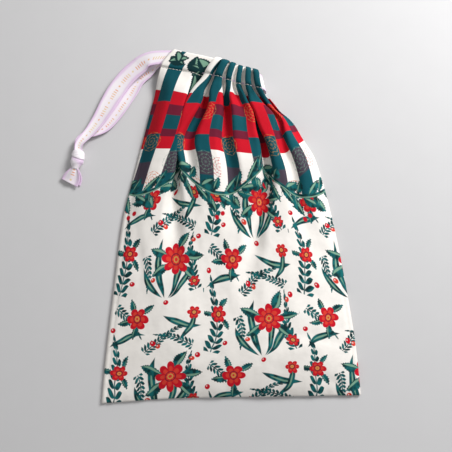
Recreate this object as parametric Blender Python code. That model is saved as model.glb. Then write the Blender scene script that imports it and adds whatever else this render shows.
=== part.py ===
"""A kinchaku: a flat cotton drawstring pouch with a gathered mouth and a knotted ribbon.

The pouch lies on a table with its mouth towards +Y. Two rectangles of printed cotton make the front
and the back. Each is turned over at the top and stitched down, which leaves a tunnel for one ribbon.
The ribbon runs through the front tunnel, turns round the right end, comes back through the back
tunnel, and both its ends are tied together in one knot. Drawing it has pleated the cloth along most
of the tunnel, and the pleats run down the front as long folds.

Places on the cloth are given by two lengths, as if it were still flat: one across, from its left
side, and one down, from its top edge. The two rails say where the sides of the cloth lie.
"""

import math

import bpy
from mathutils import Vector

MM = 0.001

# The cloth, flat
CLOTH_WIDTH = 200.0
CLOTH_HEIGHT = 291.0
CLOTH_THICKNESS = 0.9

# The ribbon
RIBBON_WIDTH = 15.0
RIBBON_THICKNESS = 0.8
RIBBON_TURN = 3.0

# The tunnel at the top of each cloth
TUNNEL_CLEARANCE = 1.75
TURNED_EDGE = 2.0
TUNNEL_DEPTH = RIBBON_WIDTH + 2.0 * TUNNEL_CLEARANCE
MOUTH_GAP = 5.0
SEAT_GAP = 0.3

# The gathers
GATHERED_LENGTH = 77.0
FLAT_RUN = 37.0
PLEATS = 6
CROWDING = 0.075
FRONT_PLEAT = 6.5
BACK_PLEAT = 2.0
FLAP_PLEAT = 0.9
PLEAT_RUN = 36.0
PLEAT_BULGE = 0.9
LOW_END = 5.5

# The long folds below the gathers
FOLD_HEIGHT = 6.0
FOLD_RISE = 20.0
FOLD_FADE = 95.0
FOLD_START = 60.0
FOLD_DEPTH = 0.5

# The filled-out body
PUFF = 10.4
PUFF_RUN = 65.0
CORNER_DROOP = 1.5
SPREAD = 38.0

# The printed stripes, and the rows of the check below the top edge
STRIPE = 12.5
FIRST_STRIPE = 3.0
STRIPE_END = 128.0
LIGHT_COLUMN = ((28.0, "red"), (40.0, "plum"), (49.0, "green"), (61.0, "plum"), (67.5, "red"), (78.0, "cream"))
GREEN_COLUMN = ((38.0, "red"), (65.5, "green"))

# The knot and the ribbon's ends
KNOT_LENGTH = 17.0
KNOT_WIDTH = 10.0
KNOT_HEIGHT = 8.0
KNOT_TURNS = 2
TAIL_LENGTH = 14.0
NECK_WIDTH = 6.0
NECK_RUN = 5.0

# Faces along and across the pieces
PLEAT_STEPS = 8
FLAT_STEPS = 8

# Where each side of the cloth lies: share of the height from the bottom seam, then how far it has
# drawn in and how far it has come up, as shares of its whole way
LEFT_RAIL = (
    (0.0, 0.0, 0.0),
    (0.1, 0.03, 0.105),
    (0.3, 0.12, 0.305),
    (0.5, 0.232, 0.51),
    (0.63, 0.393, 0.64),
    (0.75, 0.54, 0.76),
    (0.84, 0.655, 0.852),
    (0.944, 0.80, 0.953),
    (1.0, 1.0, 1.0),
)
RIGHT_RAIL = (
    (0.0, 0.0, 0.010),
    (0.15, 0.036, 0.16),
    (0.3, 0.105, 0.308),
    (0.5, 0.228, 0.503),
    (0.68, 0.388, 0.673),
    (0.76, 0.525, 0.740),
    (0.82, 0.630, 0.788),
    (0.875, 0.785, 0.826),
    (0.936, 0.945, 0.864),
    (1.0, 1.0, 0.921),
)
TOP_LEFT = -47.6

# Valleys between the long folds: where each starts and ends across the cloth, as shares of its
# width, how far down it reaches, the length of cloth that it hides, and its half-width
VALLEYS = (
    (0.190, 0.235, 130.0, 20.0, 9.0),
    (0.345, 0.370, 80.0, 11.0, 7.0),
    (0.500, 0.540, 80.0, 10.0, 7.0),
    (0.735, 0.620, 145.0, 16.0, 8.0),
    (0.900, 0.850, 120.0, 9.0, 6.5),
)

# The free ribbon, seen from above and with its height: the front end, then the back end
FRONT_STRAND = (
    (-69.0, 282.5, 7.6),
    (-79.0, 276.5, 5.0),
    (-88.5, 268.0, 3.6),
    (-97.0, 256.5, 3.0),
    (-104.0, 243.5, 3.0),
    (-110.5, 231.0, 3.2),
    (-117.6, 219.6, 4.2),
)
BACK_STRAND = (
    (-68.0, 273.0, 2.2),
    (-74.5, 265.5, 1.2),
    (-80.5, 254.0, 0.9),
    (-87.5, 242.5, 0.9),
    (-95.0, 231.0, 0.9),
    (-103.0, 221.5, 1.1),
    (-112.0, 216.2, 1.9),
    (-119.0, 213.8, 3.0),
)
KNOT_TOP = Vector((-125.2, 206.2, 4.7))
KNOT_HEADING = Vector((-0.16, -0.985, -0.02)).normalized()

COLOURS = {
    "cream": (0.88, 0.82, 0.74),
    "green": (0.018, 0.100, 0.105),
    "red": (0.62, 0.022, 0.040),
    "plum": (0.17, 0.028, 0.045),
    "ribbon": (0.86, 0.74, 0.82),
}

HALF = CLOTH_THICKNESS / 2.0
RIBBON_HALF = RIBBON_THICKNESS / 2.0
FLAT_SHARE = FLAT_RUN / GATHERED_LENGTH
LAYER = CLOTH_THICKNESS + SEAT_GAP

# Heights of the middles of the layers at the tunnels, from the table up
BACK_OUTER = HALF
BACK_RIBBON = BACK_OUTER + BACK_PLEAT + HALF + SEAT_GAP + RIBBON_HALF
BACK_FLAP = BACK_RIBBON + RIBBON_HALF + SEAT_GAP + HALF
MOUTH_FLOOR = BACK_FLAP + FLAP_PLEAT + HALF
FRONT_FLAP = MOUTH_FLOOR + MOUTH_GAP + HALF + FLAP_PLEAT
FRONT_RIBBON = FRONT_FLAP + HALF + SEAT_GAP + RIBBON_HALF
FRONT_OUTER = FRONT_RIBBON + RIBBON_HALF + SEAT_GAP + HALF
FRONT_SEAM = BACK_OUTER + LAYER


def ease(share):
    """A smooth step from 0 to 1."""
    share = min(max(share, 0.0), 1.0)
    return share * share * (3.0 - 2.0 * share)


def mix(first, last, share):
    return first + (last - first) * share


def rail_point(rail, share, column):
    """Reads one column of a rail from a smooth curve through its points."""
    last = len(rail) - 1
    place = 0
    while place < last - 1 and rail[place + 1][0] < share:
        place += 1
    start, end = rail[place], rail[place + 1]
    before, after = rail[max(place - 1, 0)], rail[min(place + 2, last)]
    span = end[0] - start[0]
    way = (share - start[0]) / span
    slope_in = (end[column] - before[column]) / (end[0] - before[0]) * span
    slope_out = (after[column] - start[column]) / (after[0] - start[0]) * span
    bend = end[column] - start[column]
    cubic = slope_in + slope_out - 2.0 * bend
    square = 3.0 * bend - 2.0 * slope_in - slope_out
    return start[column] + way * (slope_in + way * (square + way * cubic))


def cloth_across(gather):
    """Length across the flat cloth, for a place along the gathered tunnel given as a share of it."""
    if gather <= FLAT_SHARE:
        return gather * GATHERED_LENGTH
    share = (gather - FLAT_SHARE) / (1.0 - FLAT_SHARE)
    share -= CROWDING * math.sin(math.pi * share)
    return FLAT_RUN + (CLOTH_WIDTH - FLAT_RUN) * share


def pleat_phase(gather):
    """How many pleats lie between the flat run and this place."""
    return PLEATS * max(gather - FLAT_SHARE, 0.0) / (1.0 - FLAT_SHARE)


def ridge(gather):
    """Height of the pleats as a share, 0 in each valley and 1 on each ridge."""
    return 0.5 - 0.5 * math.cos(2.0 * math.pi * pleat_phase(gather))


def gathered(down):
    """How far the cloth this far down is drawn together, 1 at the tunnel."""
    return ease(1.0 - (down - TUNNEL_DEPTH) / SPREAD)


def valleys_at(down):
    """The middle of each valley this far down, the length of cloth it hides there, and its half-width."""
    found = []
    for start, end, reach, hidden, half_width in VALLEYS:
        way = max(down - TUNNEL_DEPTH, 0.0) / reach
        middle = CLOTH_WIDTH * mix(start, end, min(way, 1.0) ** 2)
        found.append((middle, hidden * (1.0 - ease((way - 0.3) / 0.9)), half_width))
    return found


def across_share(gather, down):
    """Place between the two rails, as a share, less the cloth that the valleys hide before it."""
    across = cloth_across(gather)
    shown = CLOTH_WIDTH
    place = across
    for middle, hidden, half_width in valleys_at(down):
        shown -= hidden
        place -= hidden * ease((across - middle) / (2.6 * half_width) + 0.5)
    return mix(place / shown, gather, gathered(down))


def plan(gather, down, bulge):
    """Where a place on the cloth lies, seen from above."""
    height = 1.0 - down / CLOTH_HEIGHT
    tilt = math.hypot(TOP_LEFT + CLOTH_WIDTH / 2.0, CLOTH_HEIGHT)
    left_x = -CLOTH_WIDTH / 2.0 + (TOP_LEFT + CLOTH_WIDTH / 2.0) * rail_point(LEFT_RAIL, height, 1)
    left_y = CLOTH_HEIGHT * rail_point(LEFT_RAIL, height, 2)
    top_drop = CLOTH_HEIGHT * (LEFT_RAIL[-1][2] - RIGHT_RAIL[-1][2])
    top_right = TOP_LEFT + math.sqrt(max(GATHERED_LENGTH**2 - top_drop**2, 0.0)) - RIBBON_TURN
    right_x = CLOTH_WIDTH / 2.0 + (top_right - CLOTH_WIDTH / 2.0) * rail_point(RIGHT_RAIL, height, 1)
    right_y = CLOTH_HEIGHT * rail_point(RIGHT_RAIL, height, 2)
    share = across_share(gather, down)
    x = mix(left_x, right_x, share)
    y = mix(left_y, right_y, share)
    droop = max(1.0 - share / 0.3, 0.0) ** 2 * max(1.0 - (CLOTH_HEIGHT - down) / 45.0, 0.0) ** 2
    y -= CORNER_DROOP * droop * CLOTH_HEIGHT / tilt
    if gather > FLAT_SHARE:
        pitch = (right_x - left_x) * (1.0 - FLAT_SHARE) / PLEATS
        x += bulge * pitch * math.sin(4.0 * math.pi * pleat_phase(gather)) / (4.0 * math.pi)
    return x, y


def fold_lift(gather, down):
    """Height of the long folds over the body: their full height, less in the valleys between."""
    across = cloth_across(gather)
    lift = FOLD_HEIGHT
    for middle, hidden, half_width in valleys_at(down):
        lift -= FOLD_DEPTH * hidden * math.exp(-(((across - middle) / half_width) ** 2))
    return lift


def turned(down):
    """How far a layer has parted from the other at the turned top edge, as a share."""
    share = min(down / TURNED_EDGE, 1.0)
    return math.sqrt(max(1.0 - (1.0 - share) ** 2, 0.0))


def low_end(gather):
    """The flat left end of the front tunnel lies lower than its gathered part."""
    return LOW_END * (1.0 - ease(gather / FLAT_SHARE))


def front_height(gather, down):
    """Height of the middle of the front cloth, outside the flap."""
    middle = (FRONT_OUTER + FRONT_FLAP) / 2.0
    tunnel = mix(middle, FRONT_OUTER, turned(down))
    stitched = FRONT_FLAP + LAYER
    tunnel = mix(tunnel, stitched, ease((down - TUNNEL_DEPTH + TUNNEL_CLEARANCE) / TUNNEL_CLEARANCE))
    tunnel -= low_end(gather)
    tunnel += FRONT_PLEAT * ridge(gather) * mix(0.45, 1.0, ease(down / 5.0))
    below = down - TUNNEL_DEPTH
    if below <= 0.0:
        return tunnel
    share = across_share(gather, down)
    from_bottom = (CLOTH_HEIGHT - down) / PUFF_RUN
    crown = 1.0 - abs(2.0 * share - 1.0) ** 4
    crown *= 1.0 - max(1.0 - from_bottom, 0.0) ** 3
    body = FRONT_SEAM + PUFF * crown
    base = stitched - low_end(gather)
    height = mix(base, body, ease(below / 26.0))
    pleats = FRONT_PLEAT * ridge(gather) * (1.0 - ease(below / PLEAT_RUN))
    edge = ease(share / 0.10) * ease((1.0 - share) / 0.07)
    fade = ease(below / FOLD_RISE) * (1.0 - ease((below - FOLD_START) / FOLD_FADE))
    return height + pleats + fade * edge * fold_lift(gather, down)


def back_height(gather, down):
    """Height of the middle of the back cloth, outside the flap."""
    below = max(down - TUNNEL_DEPTH, 0.0)
    middle = (BACK_OUTER + BACK_FLAP) / 2.0
    start = mix(middle, BACK_OUTER, turned(down))
    return start + BACK_PLEAT * ridge(gather) * (1.0 - ease(below / PLEAT_RUN)) * turned(down)


def front_flap_height(gather, down):
    middle = (FRONT_OUTER + FRONT_FLAP) / 2.0 + 0.45 * FRONT_PLEAT * ridge(gather)
    flap = FRONT_FLAP - FLAP_PLEAT * ridge(gather)
    return mix(middle, flap, turned(down)) - low_end(gather)


def back_flap_height(gather, down):
    middle = (BACK_OUTER + BACK_FLAP) / 2.0
    return mix(middle, BACK_FLAP + FLAP_PLEAT * ridge(gather), turned(down))


def column_places(steps_in_pleat, steps_in_flat):
    """Places of the columns of faces along the tunnel: a few on the flat run, more on the pleats."""
    places = [FLAT_SHARE * step / steps_in_flat for step in range(steps_in_flat)]
    count = PLEATS * steps_in_pleat
    return places + [mix(FLAT_SHARE, 1.0, step / count) for step in range(count + 1)]


def tunnel_rows():
    """Rows from the turned top edge down to the stitches."""
    inner = TUNNEL_DEPTH - TUNNEL_CLEARANCE - TURNED_EDGE
    rows = [0.0, TURNED_EDGE / 2.0]
    rows += [TURNED_EDGE + inner * step / 3.0 for step in range(4)]
    return rows


def body_rows():
    """Rows from the stitches to the bottom seam, on the borders of the printed check."""
    rows = {TUNNEL_DEPTH, TUNNEL_DEPTH + 3.5}
    rows |= {down for down, _ in LIGHT_COLUMN + GREEN_COLUMN if down > TUNNEL_DEPTH + 5.0}
    check_end = max(max(rows), TUNNEL_DEPTH + 40.0)
    steps = 16
    rest = CLOTH_HEIGHT - check_end
    rows |= {check_end + rest * step / steps for step in range(1, steps + 1)}
    rows = sorted(rows)
    return [down for place, down in enumerate(rows) if place == 0 or down - rows[place - 1] > 2.0]


def print_colour(gather, down):
    """The printed colour: stripes down from the top edge, crossed by one band of check."""
    across = cloth_across(gather)
    green = int((across - FIRST_STRIPE) // STRIPE) % 2 == 0
    colour = "green" if green and down < STRIPE_END else "cream"
    for start, name in GREEN_COLUMN if green else LIGHT_COLUMN:
        if start <= down < STRIPE_END:
            colour = name
    return colour


def make_material(name, colour):
    material = bpy.data.materials.new(name)
    material.use_nodes = True
    shader = material.node_tree.nodes["Principled BSDF"]
    shader.inputs["Base Color"].default_value = (*colour, 1.0)
    shader.inputs["Roughness"].default_value = 0.85
    shader.inputs["Metallic"].default_value = 0.0
    material.diffuse_color = (*colour, 1.0)
    return material


def make_object(name, points, faces, materials, parent):
    mesh = bpy.data.meshes.new(name)
    mesh.from_pydata([Vector(point) * MM for point in points], [], faces)
    mesh.validate()
    mesh.shade_smooth()
    for material in materials:
        mesh.materials.append(material)
    item = bpy.data.objects.new(name, mesh)
    bpy.context.scene.collection.objects.link(item)
    item.parent = parent
    return item


def make_panel(name, height, flap_height, bulge, steps, materials, parent):
    """One cloth: the flap, over the turned edge, the outside of the tunnel, and down to the seam."""
    fine = column_places(*steps)
    rows = [(down, True) for down in reversed(tunnel_rows()[1:])]
    rows += [(down, False) for down in tunnel_rows() + body_rows()]
    points = []
    lines = []
    for down, on_flap in rows:
        stride = 1
        if not on_flap and down > 0.62 * CLOTH_HEIGHT:
            stride = 4
        elif not on_flap and down > 0.50 * CLOTH_HEIGHT:
            stride = 2
        fade = 1.0 - ease((down - TUNNEL_DEPTH) / PLEAT_RUN)
        line = []
        for gather in fine[::stride]:
            x, y = plan(gather, down, bulge * fade)
            z = flap_height(gather, down) if on_flap else height(gather, down)
            line.append((len(points), gather))
            points.append((x, y, z))
        lines.append((down, on_flap, line))
    faces = []
    colours = []
    names = list(COLOURS)
    for (down, on_flap, upper), (next_down, _, lower) in zip(lines, lines[1:]):
        ratio = (len(upper) - 1) // (len(lower) - 1)
        for step in range(len(lower) - 1):
            left, right = lower[step], lower[step + 1]
            run = upper[ratio * step : ratio * step + ratio + 1]
            faces.append([run[0][0], left[0], right[0]] + [item[0] for item in reversed(run[1:])])
            middle = (run[0][1] + run[-1][1]) / 2.0
            colours.append("cream" if on_flap else print_colour(middle, (down + next_down) / 2.0))
    panel = make_object(name, points, faces, [materials[key] for key in names], parent)
    for polygon, colour in zip(panel.data.polygons, colours):
        polygon.material_index = names.index(colour)
    solid = panel.modifiers.new("Thickness", "SOLIDIFY")
    solid.thickness = CLOTH_THICKNESS * MM
    solid.offset = 0.0
    return panel


def make_band(name, stations, thickness, material, parent):
    """A flat band through stations, each a middle and half its width as a vector."""
    points = []
    for place, (middle, half_width) in enumerate(stations):
        before = stations[max(place - 1, 0)][0]
        after = stations[min(place + 1, len(stations) - 1)][0]
        up = half_width.cross(after - before).normalized() * thickness / 2.0
        for side, level in ((-1, -1), (1, -1), (1, 1), (-1, 1)):
            points.append(middle + half_width * side + up * level)
    faces = [[0, 1, 2, 3]]
    for place in range(len(stations) - 1):
        first = 4 * place
        for corner in range(4):
            other = (corner + 1) % 4
            faces.append([first + corner, first + 4 + corner, first + 4 + other, first + other])
    last = 4 * (len(stations) - 1)
    faces.append([last + 3, last + 2, last + 1, last])
    band = make_object(name, points, faces, [material], parent)
    band.data.set_sharp_from_angle(angle=math.radians(40.0))
    return band


def ribbon_station(gather, level):
    """The ribbon in its tunnel: its middle and half its width, at a share along the tunnel."""
    ends = []
    for down in (TUNNEL_CLEARANCE, TUNNEL_CLEARANCE + RIBBON_WIDTH):
        start = Vector((*plan(0.0, down, 0.0), 0.0))
        end = Vector((*plan(1.0, down, 0.0), 0.0))
        ends.append(start.lerp(end, gather))
    middle = (ends[0] + ends[1]) / 2.0
    middle.z = level
    return middle, (ends[0] - ends[1]) / 2.0


def casing_stations():
    """Through the front tunnel, round its right end, and back through the back tunnel."""
    run = [step / 12.0 for step in range(13)]
    run[0] = -0.03
    stations = [ribbon_station(share, FRONT_RIBBON - low_end(max(share, 0.0))) for share in run]
    heading = (stations[-1][0] - stations[-2][0]).normalized()
    middle, half_width = ribbon_station(1.0, (FRONT_RIBBON + BACK_RIBBON) / 2.0)
    reach = (FRONT_RIBBON - BACK_RIBBON) / 2.0
    for step in range(1, 8):
        angle = math.pi * step / 8.0
        turn = heading * (RIBBON_TURN * math.sin(angle)) + Vector((0.0, 0.0, reach * math.cos(angle)))
        stations.append((middle + turn, half_width))
    stations += [ribbon_station(share, BACK_RIBBON) for share in reversed(run)]
    return stations


def smooth_route(points, steps):
    """Points along a smooth curve through the given ones."""
    route = []
    last = len(points) - 1
    for place in range(last):
        before, start = points[max(place - 1, 0)], points[place]
        end, after = points[place + 1], points[min(place + 2, last)]
        for step in range(steps):
            way = step / steps
            cubic = 3.0 * (start - end) + after - before
            square = 2.0 * before - 5.0 * start + 4.0 * end - after
            route.append(start + 0.5 * way * (end - before + way * (square + way * cubic)))
    return route + [points[-1]]


def neck_lift(level):
    """The two ends lie one on the other in the knot: level is 1 for the upper one and -1 below."""
    return Vector((0.0, 0.0, level * (RIBBON_THICKNESS / 2.0 + SEAT_GAP)))


def strand_stations(first, second, bends, level):
    """A free end of the ribbon, from the tunnel to the knot, drawn narrower towards the knot."""
    away = (first[0] - second[0]).normalized()
    start = first[0] + away * SEAT_GAP
    end = KNOT_TOP + neck_lift(level)
    neck = [end - KNOT_HEADING * NECK_RUN, end - KNOT_HEADING * SEAT_GAP]
    route = smooth_route([start] + [Vector(bend) for bend in bends] + neck, 4)
    stations = []
    for place, middle in enumerate(route):
        before = route[max(place - 1, 0)]
        after = route[min(place + 1, len(route) - 1)]
        heading = after - before
        share = place / (len(route) - 1)
        flat = Vector((-heading.y, heading.x, 0.0)).normalized()
        flat *= -mix(RIBBON_WIDTH, NECK_WIDTH, ease((share - 0.45) / 0.55)) / 2.0
        stations.append((middle, first[1].lerp(flat, ease(share / 0.2))))
    return stations


def make_knot(name, material, parent):
    """The knot: a drawn-up wrap of both ends, fuller where the ribbon turns round itself."""
    side = Vector((0.0, 0.0, 1.0)).cross(KNOT_HEADING).normalized()
    up = KNOT_HEADING.cross(side)
    rings, sides = 14, 18
    points = [KNOT_TOP]
    for ring in range(1, rings):
        share = ring / rings
        swell = math.sin(math.pi * share) ** 0.45
        for step in range(sides):
            angle = 2.0 * math.pi * step / sides
            turn = 2.0 * math.pi * KNOT_TURNS * share + angle
            size = swell * (0.90 + 0.10 * math.cos(turn))
            centre = KNOT_TOP + KNOT_HEADING * (KNOT_LENGTH * share)
            wide = side * (KNOT_WIDTH / 2.0 * size * math.cos(angle))
            points.append(centre + wide + up * (KNOT_HEIGHT / 2.0 * size * math.sin(angle)))
    points.append(KNOT_TOP + KNOT_HEADING * KNOT_LENGTH)
    faces = [[0, 1 + (step + 1) % sides, 1 + step] for step in range(sides)]
    for ring in range(rings - 2):
        first = 1 + ring * sides
        for step in range(sides):
            other = (step + 1) % sides
            faces.append([first + step, first + other, first + sides + other, first + sides + step])
    first = 1 + (rings - 2) * sides
    tip = len(points) - 1
    faces += [[first + step, first + (step + 1) % sides, tip] for step in range(sides)]
    return make_object(name, points, faces, [material], parent)


def tail_stations(turn, low, level):
    """A cut end of the ribbon below the knot, opening out from the knot to its full width."""
    start = KNOT_TOP + KNOT_HEADING * (KNOT_LENGTH + SEAT_GAP) + neck_lift(level)
    top = start.z
    stations = []
    steps = 6
    for step in range(steps + 1):
        share = step / steps
        angle = turn * share
        way = Vector((math.sin(angle), -math.cos(angle), 0.0))
        start = start + way * (TAIL_LENGTH / steps if step else 0.0)
        width = mix(NECK_WIDTH, RIBBON_WIDTH, ease(share * 1.2))
        middle = Vector((start.x, start.y, mix(top, low, ease(share))))
        stations.append((middle, Vector((-way.y, way.x, 0.0)) * -width / 2.0))
    return stations


def main():
    for item in list(bpy.data.objects):
        bpy.data.objects.remove(item, do_unlink=True)
    materials = {name: make_material(name, colour) for name, colour in COLOURS.items()}
    root = bpy.data.objects.new("pouch", None)
    bpy.context.scene.collection.objects.link(root)
    ribbon = materials["ribbon"]
    front = make_panel(
        "front_panel", front_height, front_flap_height, PLEAT_BULGE, (PLEAT_STEPS, FLAT_STEPS), materials, root
    )
    back_steps = (PLEAT_STEPS // 2, FLAT_STEPS // 2)
    back = make_panel(
        "back_panel", back_height, back_flap_height, PLEAT_BULGE / 2.0, back_steps, materials, root
    )
    stations = casing_stations()
    inside = make_band("ribbon_in_casing", stations, RIBBON_THICKNESS, ribbon, root)
    strand = strand_stations(stations[0], stations[1], FRONT_STRAND, 1)
    make_band("ribbon_strand_front", strand, RIBBON_THICKNESS, ribbon, root)
    strand = strand_stations(stations[-1], stations[-2], BACK_STRAND, -1)
    make_band("ribbon_strand_back", strand, RIBBON_THICKNESS, ribbon, root)
    make_knot("ribbon_knot", ribbon, root)
    make_band("ribbon_tail_front", tail_stations(0.35, 2.4, 1), RIBBON_THICKNESS, ribbon, root)
    make_band("ribbon_tail_back", tail_stations(-0.55, 0.7, -1), RIBBON_THICKNESS, ribbon, root)

    bpy.context.view_layer.update()
    graph = bpy.context.evaluated_depsgraph_get()
    corners = []
    for item in (front, back, inside):
        mesh = item.evaluated_get(graph).to_mesh()
        corners += [item.matrix_world @ vertex.co for vertex in mesh.vertices]
    for axis in (0, 1):
        values = [corner[axis] for corner in corners]
        root.location[axis] = -(min(values) + max(values)) / 2.0


main()
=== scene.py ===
"""Dresses the kinchaku: printed cotton with its gathers and folds, stitches, satin ribbon and knot.

Lengths are in millimetres until a mesh is made. A place on a cloth is given by its length across
from the left side and its length down from the top edge, as if the cloth were still flat.
"""

import math

import bpy
import numpy as np
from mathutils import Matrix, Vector, noise


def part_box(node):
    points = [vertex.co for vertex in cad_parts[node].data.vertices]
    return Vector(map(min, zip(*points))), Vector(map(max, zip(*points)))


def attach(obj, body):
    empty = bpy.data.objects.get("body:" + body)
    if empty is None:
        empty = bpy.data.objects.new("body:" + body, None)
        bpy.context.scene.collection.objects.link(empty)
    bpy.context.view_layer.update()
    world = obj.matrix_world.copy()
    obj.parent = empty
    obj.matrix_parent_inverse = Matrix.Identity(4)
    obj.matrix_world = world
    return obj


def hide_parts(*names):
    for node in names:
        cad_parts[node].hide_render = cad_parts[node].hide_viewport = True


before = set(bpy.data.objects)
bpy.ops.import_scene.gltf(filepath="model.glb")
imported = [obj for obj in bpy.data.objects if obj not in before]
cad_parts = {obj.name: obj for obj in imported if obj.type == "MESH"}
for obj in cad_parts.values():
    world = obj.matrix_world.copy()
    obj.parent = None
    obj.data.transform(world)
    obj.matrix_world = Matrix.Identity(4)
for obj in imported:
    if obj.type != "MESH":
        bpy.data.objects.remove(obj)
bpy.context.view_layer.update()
MM = 0.001

# The frame's sizes
CLOTH_WIDTH = 200.0
CLOTH_HEIGHT = 291.0
RIBBON_WIDTH = 15.0
TUNNEL_CLEARANCE = 1.75
TURNED_EDGE = 2.0
TUNNEL_DEPTH = RIBBON_WIDTH + 2.0 * TUNNEL_CLEARANCE
GATHERED_LENGTH = 77.0
FLAT_RUN = 37.0
FLAT_SHARE = FLAT_RUN / GATHERED_LENGTH
PLEATS = 6
CROWDING = 0.075
BACK_PLEAT = 2.0
FLAP_PLEAT = 0.9
PLEAT_RUN = 36.0
LOW_END = 5.5
FOLD_HEIGHT = 6.0
FOLD_FADE = 95.0
FOLD_START = 60.0
PUFF = 10.4
PUFF_RUN = 65.0
CORNER_DROOP = 1.5
SPREAD = 38.0
RIBBON_TURN = 3.0
TOP_LEFT = -47.6
BACK_OUTER = 0.45
BACK_RIBBON = 3.6
BACK_FLAP = 4.75
FRONT_FLAP = 12.45
FRONT_RIBBON = 13.6
FRONT_OUTER = 14.75
LEFT_RAIL = (
    (0.0, 0.0, 0.0),
    (0.1, 0.03, 0.105),
    (0.3, 0.12, 0.305),
    (0.5, 0.232, 0.51),
    (0.63, 0.393, 0.64),
    (0.75, 0.54, 0.76),
    (0.84, 0.655, 0.852),
    (0.944, 0.80, 0.953),
    (1.0, 1.0, 1.0),
)
RIGHT_RAIL = (
    (0.0, 0.0, 0.010),
    (0.15, 0.036, 0.16),
    (0.3, 0.105, 0.308),
    (0.5, 0.228, 0.503),
    (0.68, 0.388, 0.673),
    (0.76, 0.525, 0.740),
    (0.82, 0.630, 0.788),
    (0.875, 0.785, 0.826),
    (0.936, 0.945, 0.864),
    (1.0, 1.0, 0.921),
)

# The long folds of the front. Each valley is a table: length below the stitches, its middle across
# the cloth, then the width and the steepest slope of its left side, and the same of its right side.
# Slopes are in radians, and one over 1.57 folds back under itself.
VALLEYS = (
    (
        (-18.5, 37.0, 12.0, 0.10, 16.5, 2.0),
        (0.0, 38.0, 12.0, 0.45, 16.5, 2.0),
        (12.0, 39.0, 13.0, 1.40, 15.0, 2.0),
        (32.0, 41.0, 14.0, 1.85, 14.0, 1.85),
        (66.0, 46.0, 15.0, 1.95, 15.0, 1.95),
        (95.0, 48.0, 14.0, 1.40, 14.0, 1.40),
        (125.0, 49.0, 14.0, 0.60, 14.0, 0.60),
        (160.0, 50.0, 14.0, 0.20, 14.0, 0.20),
        (200.0, 50.0, 14.0, 0.0, 14.0, 0.0),
    ),
    (
        (-18.5, 70.0, 16.5, 2.0, 16.5, 2.0),
        (2.0, 70.0, 16.5, 2.0, 16.5, 2.0),
        (32.0, 77.0, 13.0, 1.35, 13.0, 1.35),
        (66.0, 69.0, 13.0, 0.80, 13.0, 0.80),
        (100.0, 66.0, 13.0, 0.30, 13.0, 0.30),
        (140.0, 66.0, 13.0, 0.0, 13.0, 0.0),
    ),
    (
        (-18.5, 103.0, 16.5, 2.0, 13.0, 1.9),
        (2.0, 103.0, 16.5, 2.0, 13.0, 1.9),
        (32.0, 109.0, 12.0, 1.30, 12.0, 1.30),
        (66.0, 106.0, 12.0, 0.75, 12.0, 0.75),
        (110.0, 104.0, 12.0, 0.30, 12.0, 0.30),
        (150.0, 104.0, 12.0, 0.0, 12.0, 0.0),
    ),
    (
        (-18.5, 129.0, 13.0, 1.9, 9.0, 1.7),
        (2.0, 129.0, 13.0, 1.9, 9.0, 1.7),
        (15.0, 129.0, 11.0, 1.30, 9.0, 1.10),
        (32.0, 128.0, 9.0, 0.60, 9.0, 0.60),
        (55.0, 127.0, 9.0, 0.20, 9.0, 0.20),
        (80.0, 126.0, 9.0, 0.0, 9.0, 0.0),
    ),
    (
        (-18.5, 147.0, 9.0, 1.7, 12.5, 1.89),
        (2.0, 147.0, 9.0, 1.7, 12.5, 1.89),
        (32.0, 147.0, 12.0, 1.80, 12.0, 1.80),
        (66.0, 146.0, 13.0, 1.30, 13.0, 1.30),
        (95.0, 143.0, 14.0, 0.95, 14.0, 0.95),
        (130.0, 128.0, 15.0, 0.60, 15.0, 0.60),
        (165.0, 118.0, 15.0, 0.30, 15.0, 0.30),
        (200.0, 112.0, 15.0, 0.0, 15.0, 0.0),
    ),
    (
        (-18.5, 172.0, 12.5, 1.89, 14.0, 1.94),
        (2.0, 172.0, 12.5, 1.89, 14.0, 1.94),
        (20.0, 178.0, 12.0, 1.60, 11.0, 1.50),
        (32.0, 183.0, 10.0, 1.35, 9.0, 1.20),
        (66.0, 172.0, 12.0, 0.85, 12.0, 0.85),
        (100.0, 170.0, 12.0, 0.50, 12.0, 0.50),
        (140.0, 168.0, 12.0, 0.0, 12.0, 0.0),
    ),
    (
        (-18.5, 200.0, 14.0, 1.94, 14.0, 0.0),
        (2.0, 200.0, 14.0, 1.94, 14.0, 0.0),
        (20.0, 200.0, 12.0, 1.00, 14.0, 0.0),
        (34.0, 200.0, 8.0, 0.30, 14.0, 0.0),
        (55.0, 200.0, 8.0, 0.0, 14.0, 0.0),
    ),
)

# Soft creases of the body, as lines from one place to another with a depth and a half-width
CREASES = (
    (-30.0, 18.0, -64.0, 7.0, 1.1, 5.0),
    (-10.0, 30.0, -50.0, 16.0, 0.7, 6.0),
    (52.0, 55.0, 88.0, 48.0, 0.9, 5.0),
    (20.0, 46.0, 60.0, 58.0, 0.6, 7.0),
    (-78.0, 150.0, -70.0, 95.0, 0.9, 5.0),
    (-46.0, 128.0, -38.0, 100.0, 0.8, 7.0),
    (60.0, 150.0, 70.0, 110.0, 0.9, 7.0),
    (-84.0, 60.0, -60.0, 88.0, 0.6, 6.0),
    (40.0, 95.0, 74.0, 80.0, 0.6, 8.0),
    (-20.0, 84.0, 14.0, 70.0, 0.5, 9.0),
    (70.0, 22.0, 92.0, 12.0, 0.8, 4.5),
)
FRONT_STRAND = (
    (-69.0, 282.5, 7.6),
    (-79.0, 276.5, 5.0),
    (-88.5, 268.0, 3.6),
    (-97.0, 256.5, 3.0),
    (-104.0, 243.5, 3.0),
    (-110.5, 231.0, 3.2),
    (-117.6, 219.6, 4.2),
)
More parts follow.
